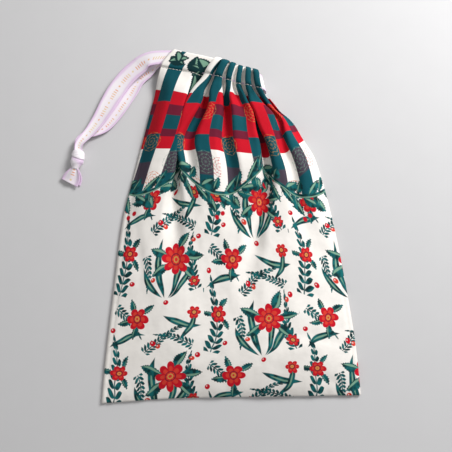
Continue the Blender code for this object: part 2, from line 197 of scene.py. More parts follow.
BACK_STRAND = (
    (-68.0, 273.0, 2.2),
    (-74.5, 265.5, 1.2),
    (-80.5, 254.0, 0.9),
    (-87.5, 242.5, 0.9),
    (-95.0, 231.0, 0.9),
    (-103.0, 221.5, 1.1),
    (-112.0, 216.2, 1.9),
    (-119.0, 213.8, 3.0),
)
KNOT_TOP = Vector((-125.2, 206.2, 4.7))
KNOT_HEADING = Vector((-0.16, -0.985, -0.02)).normalized()
KNOT_LENGTH = 17.0
NECK_WIDTH = 6.0
NECK_RUN = 5.0
KNOT_SHIFT = (-0.8, -1.8, 0.0)

# Only the surface's own sizes
CLOTH_THICKNESS = 0.5
RIBBON_THICKNESS = 0.35
GATHER_STRENGTH = 0.62
BODY_STRENGTH = 0.95
STITCHED_LEVEL = FRONT_FLAP + 1.9
LEAST_HEIGHT = 2.1
BLEND = 1.2
RIM = 1.7
KNOT_HALF_WIDTH = 3.5
KNOT_FLATNESS = 0.82
FLOOR_HALF = 3.0
WORLD_STRENGTH = 0.34
# Each lamp's name, place and size in metres, and power in watts
LAMPS = (
    ("window", (0.66, 0.66, 0.66), 0.40, 14.8),
    ("fill", (-0.8, -0.5, 1.1), 1.2, 1.2),
)
CAMERA_LENS = 40.06
CAMERA_TILT = 9.0
CAMERA_TARGET = (-0.0042, -0.0038, 0.0)
CAMERA_DISTANCE = 0.411
STITCH = 2.5
STITCH_STEP = 2.9
THREAD = 0.26

CREAM = (0.90, 0.86, 0.81)
WRONG_SIDE = (0.82, 0.76, 0.70)
DARK_GREEN = (0.003, 0.030, 0.034)
GREEN = (0.003, 0.078, 0.100)
TEAL = (0.006, 0.135, 0.140)
SAGE = (0.200, 0.370, 0.265)
RED = (0.560, 0.005, 0.018)
BRIGHT_RED = (0.680, 0.050, 0.030)
PLUM = (0.150, 0.010, 0.030)
GOLD = (0.620, 0.310, 0.080)
ORANGE = (0.700, 0.170, 0.060)


def ease(share):
    share = np.clip(share, 0.0, 1.0)
    return share * share * (3.0 - 2.0 * share)


def mix(first, last, share):
    return first + (last - first) * share


def rail_value(rail, share, column):
    """Reads one column of a rail from a smooth curve through its points."""
    places = np.array([point[0] for point in rail])
    values = np.array([point[column] for point in rail])
    last = len(rail) - 1
    slopes = np.empty(len(rail))
    for place in range(len(rail)):
        before, after = max(place - 1, 0), min(place + 1, last)
        slopes[place] = (values[after] - values[before]) / (places[after] - places[before])
    share = np.asarray(share, float)
    index = np.clip(np.searchsorted(places, share) - 1, 0, last - 1)
    span = places[index + 1] - places[index]
    way = (share - places[index]) / span
    bend = values[index + 1] - values[index]
    slope_in, slope_out = slopes[index] * span, slopes[index + 1] * span
    cubic = slope_in + slope_out - 2.0 * bend
    square = 3.0 * bend - 2.0 * slope_in - slope_out
    return values[index] + way * (slope_in + way * (square + way * cubic))


def cloth_across(gather):
    share = np.clip((gather - FLAT_SHARE) / (1.0 - FLAT_SHARE), 0.0, 1.0)
    share = share - CROWDING * np.sin(np.pi * share)
    pleated = FLAT_RUN + (CLOTH_WIDTH - FLAT_RUN) * share
    return np.where(gather <= FLAT_SHARE, gather * GATHERED_LENGTH, pleated)


GATHER_TABLE = np.linspace(0.0, 1.0, 4001)
ACROSS_TABLE = cloth_across(GATHER_TABLE)


def gather_at(across):
    return np.interp(across, ACROSS_TABLE, GATHER_TABLE)


def pleat_phase(gather):
    return PLEATS * np.maximum(gather - FLAT_SHARE, 0.0) / (1.0 - FLAT_SHARE)


def ridge(gather):
    return 0.5 - 0.5 * np.cos(2.0 * np.pi * pleat_phase(gather))


def rails(down):
    """Where each row starts and ends, seen from above."""
    height = 1.0 - down / CLOTH_HEIGHT
    left_x = -CLOTH_WIDTH / 2.0 + (TOP_LEFT + CLOTH_WIDTH / 2.0) * rail_value(LEFT_RAIL, height, 1)
    left_y = CLOTH_HEIGHT * rail_value(LEFT_RAIL, height, 2)
    top_drop = CLOTH_HEIGHT * (LEFT_RAIL[-1][2] - RIGHT_RAIL[-1][2])
    top_right = TOP_LEFT + math.sqrt(GATHERED_LENGTH**2 - top_drop**2) - RIBBON_TURN
    right_x = CLOTH_WIDTH / 2.0 + (top_right - CLOTH_WIDTH / 2.0) * rail_value(RIGHT_RAIL, height, 1)
    right_y = CLOTH_HEIGHT * rail_value(RIGHT_RAIL, height, 2)
    return left_x, left_y, right_x, right_y


def plan(share, down):
    """A place seen from above, at a share of the way between the rails."""
    left_x, left_y, right_x, right_y = rails(down)
    low = np.maximum(1.0 - (CLOTH_HEIGHT - down) / 45.0, 0.0) ** 2
    droop = np.maximum(1.0 - share / 0.3, 0.0) ** 2 * low
    return mix(left_x, right_x, share), mix(left_y, right_y, share) - CORNER_DROOP * droop


def drawn_plan(share, down):
    """The same with the bottom seam a little further up, where the body's padding takes up cloth."""
    x, y = plan(share, down)
    return x, y + (4.0 + 1.6 * ease(share / 0.4)) * ease((down - 215.0) / 76.0)


SAMPLES = np.linspace(0.0, CLOTH_WIDTH, 1001)


def between(table, below):
    """The columns of a valley's table at these lengths below the stitches, softened along them."""
    table = np.array(table)
    columns = []
    for column in range(1, table.shape[1]):
        values = [np.interp(below + step, table[:, 0], table[:, column]) for step in (-8, -4, 0, 4, 8)]
        columns.append(np.mean(values, axis=0)[:, None])
    return columns


def front_rows(down):
    """Each row's way across and its rise, from the slopes of its folds. No length of cloth is lost."""
    below = down - TUNNEL_DEPTH
    slope = np.zeros((len(down), len(SAMPLES)))
    for number, table in enumerate(VALLEYS):
        middle, left, left_slope, right, right_slope = between(table, below)
        wander = np.array([noise.noise(Vector((row / 26.0, number * 9.0, 2.0))) for row in below])
        middle = middle + (2.2 * wander * ease((below + 2.0) / 30.0))[:, None]
        from_middle = SAMPLES - middle
        side = np.clip(from_middle / np.where(from_middle < 0.0, left, right), -1.0, 1.0)
        slope += np.sin(np.pi * side) * np.where(from_middle < 0.0, left_slope, right_slope)
    left_x, left_y, right_x, right_y = rails(down)
    room = np.hypot(right_x - left_x, right_y - left_y)
    low, high = np.full(len(down), 0.7), np.full(len(down), 1.22)
    for _ in range(14):
        factor = (low + high) / 2.0
        length = np.cos(factor[:, None] * slope).mean(axis=1) * CLOTH_WIDTH
        low, high = np.where(length > room, factor, low), np.where(length > room, high, factor)
    slope *= ((low + high) / 2.0)[:, None]
    step = CLOTH_WIDTH / (len(SAMPLES) - 1)
    run = np.zeros_like(slope)
    rise = np.zeros_like(slope)
    run[:, 1:] = np.cumsum((np.cos(slope[:, 1:]) + np.cos(slope[:, :-1])) / 2.0, axis=1) * step
    rise[:, 1:] = np.cumsum((np.sin(slope[:, 1:]) + np.sin(slope[:, :-1])) / 2.0, axis=1) * step
    return run / run[:, -1:], rise, room


def read_rows(table, across):
    return np.stack([np.interp(across, SAMPLES, row) for row in table])


def turned(down):
    share = np.minimum(down / TURNED_EDGE, 1.0)
    return np.sqrt(np.maximum(1.0 - (1.0 - share) ** 2, 0.0))


def low_end(across):
    return LOW_END * (1.0 - ease(across / FLAT_RUN))


def rounded(distance, radius):
    return np.sqrt(np.maximum(1.0 - (1.0 - np.clip(distance / radius, 0.0, 1.0)) ** 2, 0.0))


def soft_noise(x, y, size, seed):
    """Smooth noise from -1 to 1 over a grid of places, with features of about the given size."""
    x, y = np.broadcast_arrays(x, y)
    flat_x, flat_y = np.ravel(x) / size, np.ravel(y) / size
    values = [noise.noise(Vector((px, py, seed))) for px, py in zip(flat_x, flat_y)]
    return np.array(values).reshape(x.shape)


def crease_depth(x, y):
    depth = np.zeros_like(x)
    for start_x, start_y, end_x, end_y, deep, half_width in CREASES:
        way_x, way_y = end_x - start_x, end_y - start_y
        along = ((x - start_x) * way_x + (y - start_y) * way_y) / (way_x**2 + way_y**2)
        along = np.clip(along, 0.0, 1.0)
        off = np.hypot(x - start_x - along * way_x, y - start_y - along * way_y)
        depth += deep * np.exp(-((off / half_width) ** 2)) * (1.0 - 0.6 * (2.0 * along - 1.0) ** 2)
    return depth


def front_surface(across, down, on_flap=False):
    """The middle of the front cloth, for each row down and each place across."""
    across, down = np.asarray(across, float), np.asarray(down, float)
    run, rise, room = front_rows(down)
    share, rise = read_rows(run, across), read_rows(rise, across)
    row = down[:, None]
    below = row - TUNNEL_DEPTH
    middle = (FRONT_OUTER + FRONT_FLAP) / 2.0
    if on_flap:
        top_run, top_rise, _ = front_rows(np.zeros(1))
        top_share, top_rise = read_rows(top_run, across), read_rows(top_rise, across)
        inner = gather_at(across)[None, :]
        x, y = plan(mix(top_share, inner, turned(row)), row)
        lower = FRONT_FLAP - 0.9 * ridge(inner)
        upper = middle + 0.55 * GATHER_STRENGTH * top_rise
        z = mix(upper, lower, turned(row)) - low_end(across)
        return x, y, z
    tunnel = mix(middle, FRONT_OUTER + 0.7, turned(row))
    tunnel = mix(tunnel, STITCHED_LEVEL, ease((below + TUNNEL_CLEARANCE) / TUNNEL_CLEARANCE))
    tunnel = tunnel - low_end(across)
    edge = np.minimum(share, 1.0 - share) * room[:, None]
    crown = 1.0 - np.abs(2.0 * np.clip(share, 0.0, 1.0) - 1.0) ** 3.4
    crown = crown * (1.0 - np.maximum(1.0 - (CLOTH_HEIGHT - row) / PUFF_RUN, 0.0) ** 3)
    fade = 1.0 - ease((below - FOLD_START) / FOLD_FADE)
    tops = FOLD_HEIGHT * fade * ease(edge / 15.0)
    roll = 1.5 * rounded(edge, RIM) - 0.5 * np.exp(-(((edge - 4.2) / 1.2) ** 2))
    body = 1.1 + roll + (PUFF - 1.0) * crown + tops
    level = mix(tunnel, body, ease(below / 26.0))
    strength = mix(GATHER_STRENGTH, BODY_STRENGTH, ease(below / 30.0))
    strength = strength * mix(0.55, 1.0, ease(row / 5.0))
    lift = rise * strength
    lift = np.where(below > 8.0, lift * ease(edge / 5.0 + 0.25), lift)
    z = level + lift
    x, y = drawn_plan(share, row)

    calm = ease(edge / 12.0) * ease(below / 12.0)
    along = 0.6 + 0.4 * ease(below / 150.0)
    z = z + calm * 1.5 * soft_noise(across, row * 0.5, 38.0, 3.0)
    z = z + calm * along * 0.55 * soft_noise(across, row * 0.8, 15.0, 8.0)
    z = z + 0.12 * ease(edge / 5.0) * soft_noise(across, row * 0.6, 5.0, 12.0)
    gathers = np.exp(-((below / 13.0) ** 2)) * ease((below + 3.0) / 6.0)
    z = z + 0.9 * gathers * soft_noise(across + below * 0.1, below * 0.12, 4.6, 21.0)
    z = z - calm * crease_depth(x, y)
    bottom = CLOTH_HEIGHT - row
    near = np.minimum(edge, bottom)
    around = np.where(edge < bottom, row, across)
    pucker = np.exp(-(((near - 2.6) / 2.2) ** 2)) * soft_noise(around, around * 0.0, 4.5, 5.0)
    z = z + 0.55 * ease(below / 20.0) * pucker
    z = z + ease(below / 30.0) * (1.1 * (rounded(bottom, RIM) - 1.0) * rounded(edge, RIM))
    pressed = np.exp(-(below**2))
    z = z - 0.3 * pressed * (0.65 + 0.35 * np.cos(2.0 * np.pi * across / STITCH_STEP))

    # A smooth lower limit, so that the front's valleys stay above the back cloth
    above = (z - LEAST_HEIGHT) / BLEND
    lifted = LEAST_HEIGHT + BLEND * np.log1p(np.exp(np.clip(above, -30.0, 30.0)))
    lifted = np.where(above > 30.0, z, lifted)
    guard = ease(edge / 6.0) * ease(bottom / 6.0) * ease((below - 2.0) / 10.0)
    return x, y, mix(z, np.maximum(z, lifted), guard)


def back_surface(across, down, on_flap=False):
    across, down = np.asarray(across, float), np.asarray(down, float)
    gather = gather_at(across)[None, :]
    row = down[:, None]
    below = row - TUNNEL_DEPTH
    share = mix(across[None, :] / CLOTH_WIDTH, gather, ease(1.0 - below / SPREAD))
    x, y = drawn_plan(share, row)
    middle = (BACK_OUTER + BACK_FLAP) / 2.0
    if on_flap:
        return x, y, mix(middle, BACK_FLAP + FLAP_PLEAT * ridge(gather), turned(row))
    left_x, left_y, right_x, right_y = rails(down)
    edge = np.minimum(share, 1.0 - share) * np.hypot(right_x - left_x, right_y - left_y)[:, None]
    edge = np.minimum(edge, CLOTH_HEIGHT - row)
    z = mix(middle, BACK_OUTER, turned(row)) - 0.15
    folds = ridge(gather) * (1.0 - ease(np.maximum(below, 0.0) / PLEAT_RUN)) * turned(row)
    z = z + BACK_PLEAT * folds
    return x, y, z + ease((below - 12.0) / 16.0) * 0.75 * (1.0 - rounded(edge, 1.6))


def place_frame():
    """How far the frame has moved the pouch, from the box of its front cloth."""
    columns, rows = np.meshgrid(np.linspace(0.0, 1.0, 60), np.linspace(0.0, CLOTH_HEIGHT, 90))
    x, y = plan(columns, rows)
    low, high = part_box("front_panel")
    centre_x = (low[0] + high[0]) / 2.0 / MM
    centre_y = (low[1] + high[1]) / 2.0 / MM
    return Vector((centre_x - (x.min() + x.max()) / 2.0, centre_y - (y.min() + y.max()) / 2.0, 0.0))


SHIFT = place_frame()


def make_object(name, points, faces, materials, uvs=None):
    """A mesh in the frame from points in millimetres. uvs holds one pair for each point."""
    mesh = bpy.data.meshes.new(name)
    mesh.from_pydata([tuple((Vector(point) + SHIFT) * MM) for point in points], [], faces)
    for material in materials:
        mesh.materials.append(material)
    if uvs is not None:
        layer = mesh.uv_layers.new(name="cloth")
        index = np.empty(len(mesh.loops), np.int32)
        mesh.loops.foreach_get("vertex_index", index)
        layer.data.foreach_set("uv", np.asarray(uvs, np.float32)[index].ravel())
    mesh.shade_smooth()
    item = bpy.data.objects.new(name, mesh)
    bpy.context.scene.collection.objects.link(item)
    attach(item, "root")
    return item


# Node graphs


class Socket:
    """A value in a node tree that can be combined with arithmetic."""

    def __init__(self, tree, value):
        self.tree = tree
        self.value = value

    def _put(self, other, node, place):
        value = other.value if isinstance(other, Socket) else other
        if isinstance(value, (int, float)):
            node.inputs[place].default_value = value
        else:
            self.tree.links.new(value, node.inputs[place])

    def do(self, operation, *others, clamp=False):
        node = self.tree.nodes.new("ShaderNodeMath")
        node.operation = operation
        node.use_clamp = clamp
        self._put(self, node, 0)
        for place, other in enumerate(others):
            self._put(other, node, place + 1)
        return Socket(self.tree, node.outputs[0])

    def __add__(self, other):
        return self.do("ADD", other)

    def __sub__(self, other):
        return self.do("SUBTRACT", other)

    def __mul__(self, other):
        return self.do("MULTIPLY", other)

    def __truediv__(self, other):
        return self.do("DIVIDE", other)

    def __neg__(self):
        return self.do("MULTIPLY", -1.0)

    def abs(self):
        return self.do("ABSOLUTE")

    def least(self, other):
        return self.do("MINIMUM", other)

    def most(self, other):
        return self.do("MAXIMUM", other)

    def wrap(self, size):
        return self.do("FLOORED_MODULO", size)

    def inside(self, soft=0.35):
        """1 where this distance is below 0, with an edge that many millimetres soft."""
        return self.do("MULTIPLY_ADD", -1.0 / soft, 0.5, clamp=True)


def length_of(x, y):
    """Distance from the origin of two coordinates."""
    node = x.tree.nodes.new("ShaderNodeCombineXYZ")
    x.tree.links.new(x.value, node.inputs[0])
    x.tree.links.new(y.value, node.inputs[1])
    distance = x.tree.nodes.new("ShaderNodeVectorMath")
    distance.operation = "LENGTH"
    x.tree.links.new(node.outputs[0], distance.inputs[0])
    return Socket(x.tree, distance.outputs["Value"])


def turn(x, y, degrees, at=(0.0, 0.0)):
    """Coordinates along and across a line through a point, at an angle from the first axis."""
    cosine, sine = math.cos(math.radians(degrees)), math.sin(math.radians(degrees))
    along = x.do("MULTIPLY_ADD", cosine, y * sine - (at[0] * cosine + at[1] * sine))
    aside = y.do("MULTIPLY_ADD", cosine, x * -sine + (at[0] * sine - at[1] * cosine))
    return along, aside


def paint(colour, over, mask):
    """Colour laid over another where the mask is 1. Colours are sockets or triples."""
    tree = mask.tree
    node = tree.nodes.new("ShaderNodeMix")
    node.data_type = "RGBA"
    tree.links.new(mask.value, node.inputs["Factor"])
    for name, value in (("A", over), ("B", colour)):
        place = next(i for i in node.inputs if i.name == name and i.type == "RGBA")
        if isinstance(value, tuple):
            place.default_value = (*value, 1.0)
        else:
            tree.links.new(value, place)
    return next(o for o in node.outputs if o.type == "RGBA")


def leaf(along, aside, length, half_width, sway=0.0):
    """Distance to a pointed leaf that starts at the origin and may sway to one side."""
    share = along / length
    bow = share * (share - 1.0)
    middle = aside + bow * sway
    return middle.abs() + bow * (4.0 * half_width)


def veined_leaf(over, green, place, size, half_width, sway, notches, vein):
    """A notched leaf painted with a paler half. notches are how often and how deep."""
    along, aside = place
    blade = leaf(along, aside, size, half_width, sway)
    notch = (along * notches[0]).do("SINE").abs() * notches[1]
    over = paint(green, over, (blade + notch).inside(0.5))
    return paint(SAGE, over, (blade + vein[0]).most(aside - 0.1).inside(vein[1]))


def spray(along, aside, length, leaf_length, step):
    """Distance to a stem with paired leaflets slanting away from it."""
    out = aside.abs()
    slant = (along - out * 0.75).wrap(step) - step / 2.0
    end = (along * (-1.0 / length) + 1.0).most(0.0)
    reach = end.do("POWER", 0.6) * leaf_length + 0.01
    way = (out / reach).least(1.0)
    blade = (slant.abs() - (way - way * way) * (step * 1.7)).most(out - reach)
    return blade.least(out - 0.45).most(-along).most(along - length)


def rosette(x, y, at, size, petals):
    """Distance to a flower with rounded petals, its distance from the centre, and its wave."""
    from_x, from_y = x - at[0], y - at[1]
    radius = length_of(from_x, from_y)
    angle = from_y.do("ARCTAN2", from_x)
    wave = (angle * (petals / 2.0)).do("COSINE").abs().do("POWER", 0.55)
    return radius - (wave * (0.42 * size) + 0.58 * size), radius, wave


def read_uv(tree):
    uv = tree.nodes.new("ShaderNodeUVMap")
    uv.uv_map = "cloth"
    split = tree.nodes.new("ShaderNodeSeparateXYZ")
    scale = tree.nodes.new("ShaderNodeVectorMath")
    scale.operation = "SCALE"
    scale.inputs["Scale"].default_value = 1000.0
    tree.links.new(uv.outputs[0], scale.inputs[0])
    tree.links.new(scale.outputs[0], split.inputs[0])
    return Socket(tree, split.outputs[0]), Socket(tree, split.outputs[1]), scale.outputs[0]


def noise_value(tree, vector, size, detail=2.0):
    node = tree.nodes.new("ShaderNodeTexNoise")
    node.inputs["Scale"].default_value = 1.0 / size
    node.inputs["Detail"].default_value = detail
    tree.links.new(vector, node.inputs["Vector"])
    return Socket(tree, node.outputs[0])


def new_material(name, roughness, sheen=0.0):
    material = bpy.data.materials.new(name)
    material.use_nodes = True
    tree = material.node_tree
    shader = tree.nodes["Principled BSDF"]
    shader.inputs["Roughness"].default_value = roughness
    shader.inputs["Sheen Weight"].default_value = sheen
    shader.inputs["Sheen Roughness"].default_value = 0.5
    return material, tree, shader


def add_bump(tree, shader, height, strength, distance):
    bump = tree.nodes.new("ShaderNodeBump")
    bump.inputs["Strength"].default_value = strength
    bump.inputs["Distance"].default_value = distance
    tree.links.new(height.value, bump.inputs["Height"])
    tree.links.new(bump.outputs[0], shader.inputs["Normal"])


def weave(across, up, pitch=0.55):
    """Height of a plain weave: threads over and under in both directions."""
    turns = 2.0 * math.pi / pitch
    first = (across * turns).do("SINE")
    second = (up * turns).do("SINE")
    return first * second


def cotton_bump(tree, shader, across, up, vector):
    soft = noise_value(tree, vector, 5.0, 3.0)
    height = weave(across, up) * 0.10 + soft * 0.9
    add_bump(tree, shader, height, 0.35, 0.0006)


STRIPE = 12.5
FIRST_STRIPE = 6.2
STRIPE_FOOT = 122.0
# The length down to the start of the red on the green stripes, and how long it is, as polynomials
# of the share of the way across
CHECK_PLACE = 38.0
CHECK_DEPTH = 27.5
CHECK_TOP = (-140.6, 308.349, -242.689, 60.954, 47.484)
CHECK_RUN = (-91.949, 85.517, 18.269, -13.457, 28.42)


def line_flower(x, y, at, size, petals):
    """Distance to a flower drawn in thin rings of petals."""
    from_x, from_y = x - at[0], y - at[1]
    radius = length_of(from_x, from_y)
    angle = from_y.do("ARCTAN2", from_x)
    wave = (angle * petals + radius * 0.9).do("SINE").abs()
    ring = (radius + wave * (0.13 * size)).wrap(0.30 * size) - 0.15 * size
    return (ring.abs() - 0.28).most(radius - size)


def print_body(across, up, warp, tone):
    """Flowers, leafy branches and berries scattered over the lower part, in a half-drop repeat."""
    width, height = 78.0, 94.0
    odd = (across / width).do("FLOOR")
    x = (across + warp * 4.0).wrap(width) - width / 2.0
    y = (up + odd * (height / 2.0) + 14.0 - warp * 4.0).wrap(height) - height / 2.0
    colour = CREAM
    green = paint(DARK_GREEN, TEAL, tone)

    # Curved branches with paired leaves, coarse ones and fine ones
    for degrees, at, length, blade, step, bend in (
        (74.0, (-33.0, -44.0), 60.0, 7.6, 6.0, -0.0050),
        (112.0, (33.0, -40.0), 44.0, 6.0, 4.6, 0.0070),
        (48.0, (-8.0, 4.0), 42.0, 5.0, 3.2, 0.0060),
        (150.0, (30.0, 10.0), 33.0, 4.6, 3.2, -0.0070),
        (-32.0, (-34.0, 40.0), 34.0, 4.8, 3.4, 0.0080),
        (-70.0, (-12.0, -14.0), 28.0, 4.6, 3.4, 0.0090),
    ):
        along, aside = turn(x, y, degrees, at)
        bent = aside + along * along * bend
        colour = paint(green, colour, spray(along, bent, length, blade, step).inside(0.5))

    # Long strap leaves
    for degrees, at, length, half_width, sway in (
        (96.0, (6.0, -46.0), 46.0, 3.0, 16.0),
        (78.0, (9.0, -46.0), 40.0, 2.7, -13.0),
        (58.0, (10.0, -46.0), 34.0, 2.6, -12.0),
        (128.0, (4.0, -46.0), 30.0, 2.6, 12.0),
        (20.0, (-36.0, 8.0), 30.0, 2.4, 11.0),
        (-14.0, (6.0, 34.0), 32.0, 2.6, -10.0),
        (64.0, (20.0, 14.0), 30.0, 2.4, -9.0),
    ):
        along, aside = turn(x, y, degrees, at)
        blade = leaf(along, aside, length, half_width, sway)
        colour = paint(green, colour, blade.inside(0.5))
        colour = paint(SAGE, colour, (blade + half_width * 0.74).inside(0.5))

    # Broad two-tone leaves round the flowers
    for centre, reach, size, angles in (
        ((14.0, -16.0), 6.0, 19.0, (8.0, 62.0, 160.0, 214.0, 318.0)),
        ((-15.0, 31.0), 4.0, 14.0, (38.0, 112.0, 190.0, 262.0)),
        ((-27.0, -12.0), 3.0, 12.0, (60.0, 170.0, 300.0)),
    ):
        for degrees in angles:
            cosine, sine = math.cos(math.radians(degrees)), math.sin(math.radians(degrees))
            at = (centre[0] + reach * cosine, centre[1] + reach * sine)
            place = turn(x, y, degrees, at)
            sizes = (size, size * 0.21, 3.4, (1.7, 0.7), (1.4, 0.5))
            colour = veined_leaf(colour, green, place, *sizes)

    # Red flowers, buds and berries
    flowers = (
        ((14.0, -16.0), 12.0, 8.0),
        ((-15.0, 31.0), 9.0, 6.0),
        ((-27.0, -12.0), 6.5, 6.0),
        ((31.0, 37.0), 5.5, 6.0),
        ((31.0, -33.0), 4.6, 6.0),
    )
    for at, size, petals in flowers:
        shape, radius, wave = rosette(x, y, at, size, petals)
        inner = (shape + size * 0.30).most(wave * -1.0 + 0.62)
        colour = paint(RED, colour, shape.inside(0.5))
        colour = paint(BRIGHT_RED, colour, inner.inside(0.8))
        colour = paint(PLUM, colour, ((radius - size * 0.34).abs() - 0.35).inside(0.5))
        colour = paint(GOLD, colour, ((radius - size * 0.16).abs() - 0.5).inside(0.4))
    for at, size in (
        ((-2.0, 12.0), 2.2),
        ((2.5, 9.5), 1.9),
        ((-35.0, 22.0), 2.1),
        ((34.0, 2.0), 2.2),
        ((30.0, -1.0), 1.9),
        ((-4.0, -33.0), 2.0),
        ((8.0, 44.0), 2.1),
        ((-22.0, -36.0), 2.1),
    ):
        spot = length_of(x - at[0], y - at[1])
        colour = paint(RED if size > 2.05 else BRIGHT_RED, colour, (spot - size).inside(0.4))
        light = length_of(x - (at[0] - 0.6), y - (at[1] + 0.6)) - 0.45
        colour = paint(CREAM, colour, light.inside(0.5))
    return colour


def print_garland(across, off, colour, tone):
    """A thick leafy stem along the scalloped foot of the stripes."""
    green = paint(DARK_GREEN, TEAL, tone)
    for period, start, degrees, size, level, share in (
        (21.0, 0.0, 58.0, 20.0, 0.0, 0.22),
        (21.0, 10.0, 32.0, 17.0, 0.5, 0.24),
        (21.0, 5.0, -42.0, 18.0, 0.0, 0.24),
        (21.0, 15.0, -66.0, 15.0, -0.5, 0.22),
        (21.0, 18.0, 80.0, 12.0, 0.0, 0.24),
    ):
        place = turn((across + start).wrap(period), off, degrees, (2.0, level))
        sizes = (size, size * share, 4.0, (1.5, 0.8), (1.5, 0.5))
        colour = veined_leaf(colour, green, place, *sizes)
    colour = paint(green, colour, (off.abs() - 1.7).inside(0.5))
    colour = paint(SAGE, colour, ((off - 0.9).abs() - 0.45).inside(0.5))
    for start, level in ((4.0, 16.0), (9.0, 19.5)):
        spot = length_of((across + start).wrap(42.0) - 21.0, off - level) - 1.9
        colour = paint(RED, colour, spot.inside(0.5))
    return colour


def print_stripes(across, down, foot, lower, tone):
    """Stripes down from the top edge, crossed by one band of check, ending in a garland."""
    place = (across - FIRST_STRIPE).wrap(2.0 * STRIPE)
    green = (place - STRIPE).inside(0.3)
    light = CREAM
    for start, end, colour in ((28.0, 78.0, RED), (40.0, 67.5, PLUM), (49.0, 61.0, GREEN)):
        band = (down * -1.0 + start).most(down - end)
        light = paint(colour, light, band.inside(0.3))
    x = across.wrap(50.0)
    for at, size, petals, colour in (
        ((49.0, 91.0), 7.5, 5.0, RED),
        ((24.0, 104.0), 7.0, 4.0, ORANGE),
    ):
        drawn = line_flower(x, down, at, size, petals).inside(0.4) * 0.8
        light = paint(colour, light, drawn)
    second = (x - 28.0).inside(0.3)
    start = second.do("MULTIPLY_ADD", 9.0, 80.0)
    band = (start - down).most(down - start - 18.0)
    dark = paint(PLUM, GREEN, band.inside(1.0) * 0.42)
    dark = paint(RED, dark, (down * -1.0 + CHECK_PLACE).most(down - CHECK_PLACE - CHECK_DEPTH).inside(0.3))
    colour = paint(dark, light, green)
    for at, size, petals, tint in (
        ((37.5, 88.0), 9.0, 5.0, SAGE),
        ((12.5, 72.0), 8.0, 4.0, GOLD),
        ((38.0, 46.0), 7.5, 5.0, GOLD),
    ):
        drawn = line_flower(x, down, at, size, petals).inside(0.4) * 0.45
        colour = paint(tint, colour, drawn)
    swing = ((across - 58.0) * (math.pi / 84.0)).do("SINE").abs()
    off = foot - swing * 26.0 - STRIPE_FOOT + 20.0
    colour = paint(colour, lower, off.inside(0.4))
    return print_garland(across, off, colour, tone)


def print_hem(across, down, colour):
    """A cluster of leaves over the flat end of the tunnel."""
    ground = (across - 47.0).most(down - 12.0).most(-(across - 11.0))
    hem = paint(CREAM, colour, ground.inside(0.8))
    for degrees, at, size, share, sway in (
        (20.0, (2.0, 7.0), 18.0, 0.26, 4.0),
        (-25.0, (3.0, 13.0), 17.0, 0.26, -4.0),
        (50.0, (3.0, 1.0), 15.0, 0.24, -4.0),
        (62.0, (22.0, 2.0), 22.0, 0.25, 5.0),
        (10.0, (23.0, 12.0), 21.0, 0.25, 5.0),
        (35.0, (24.0, 4.0), 24.0, 0.22, -5.0),
        (-30.0, (27.0, 22.0), 20.0, 0.26, 4.0),
        (85.0, (38.0, 5.0), 24.0, 0.22, 4.0),
        (105.0, (46.0, 1.0), 20.0, 0.24, 3.0),
        (75.0, (30.0, 18.0), 22.0, 0.20, -4.0),
    ):
        place = turn(across, down, degrees, at)
        sizes = (size, size * share, sway, (1.6, 0.7), (2.0, 0.6))
        hem = veined_leaf(hem, DARK_GREEN, place, *sizes)
    return hem


def polynomial(value, terms):
    total = value * terms[0] + terms[1]
    for term in terms[2:]:
        total = total * value + term
    return total


def cotton_print():
    material, tree, shader = new_material("printed_cotton", 0.9)
    shader.inputs["Specular IOR Level"].default_value = 0.18
    across, up, vector = read_uv(tree)
    warp = noise_value(tree, vector, 16.0, 0.0) - 0.5
    tone = noise_value(tree, vector, 5.0, 1.0).do("MULTIPLY_ADD", 4.0, -1.5, clamp=True)
    down = up * -1.0 + CLOTH_HEIGHT
    start, run = (polynomial(across / CLOTH_WIDTH, terms) for terms in (CHECK_TOP, CHECK_RUN))
    skewed = (down - start) / run * CHECK_DEPTH + CHECK_PLACE
    drifted = across + (down - TUNNEL_DEPTH) * 0.05
    lower = print_body(across, up, warp, tone)
    colour = print_stripes(drifted + warp * 0.5, skewed + warp * 0.8, down, lower, tone)
    colour = print_hem(across, down, colour)
    fade = noise_value(tree, vector, 9.0, 2.0) * 0.16 + 0.92
    value = tree.nodes.new("ShaderNodeHueSaturation")
    tree.links.new(colour, value.inputs["Color"])
    tree.links.new(fade.value, value.inputs["Value"])
    tree.links.new(value.outputs[0], shader.inputs["Base Color"])
    cotton_bump(tree, shader, across, up, vector)
    return material


def cotton_wrong_side():
    material, tree, shader = new_material("cotton_wrong_side", 0.9, 0.2)
    across, up, vector = read_uv(tree)
    place = (across - FIRST_STRIPE).wrap(2.0 * STRIPE)
    pale = tuple(mix(WRONG_SIDE[i], GREEN[i], 0.22) for i in range(3))
    striped = (place - STRIPE).inside(1.0) * (up * -1.0 + (CLOTH_HEIGHT - STRIPE_FOOT)).inside(3.0)
    colour = paint(pale, WRONG_SIDE, striped)
    tree.links.new(colour, shader.inputs["Base Color"])
    cotton_bump(tree, shader, across, up, vector)
    return material


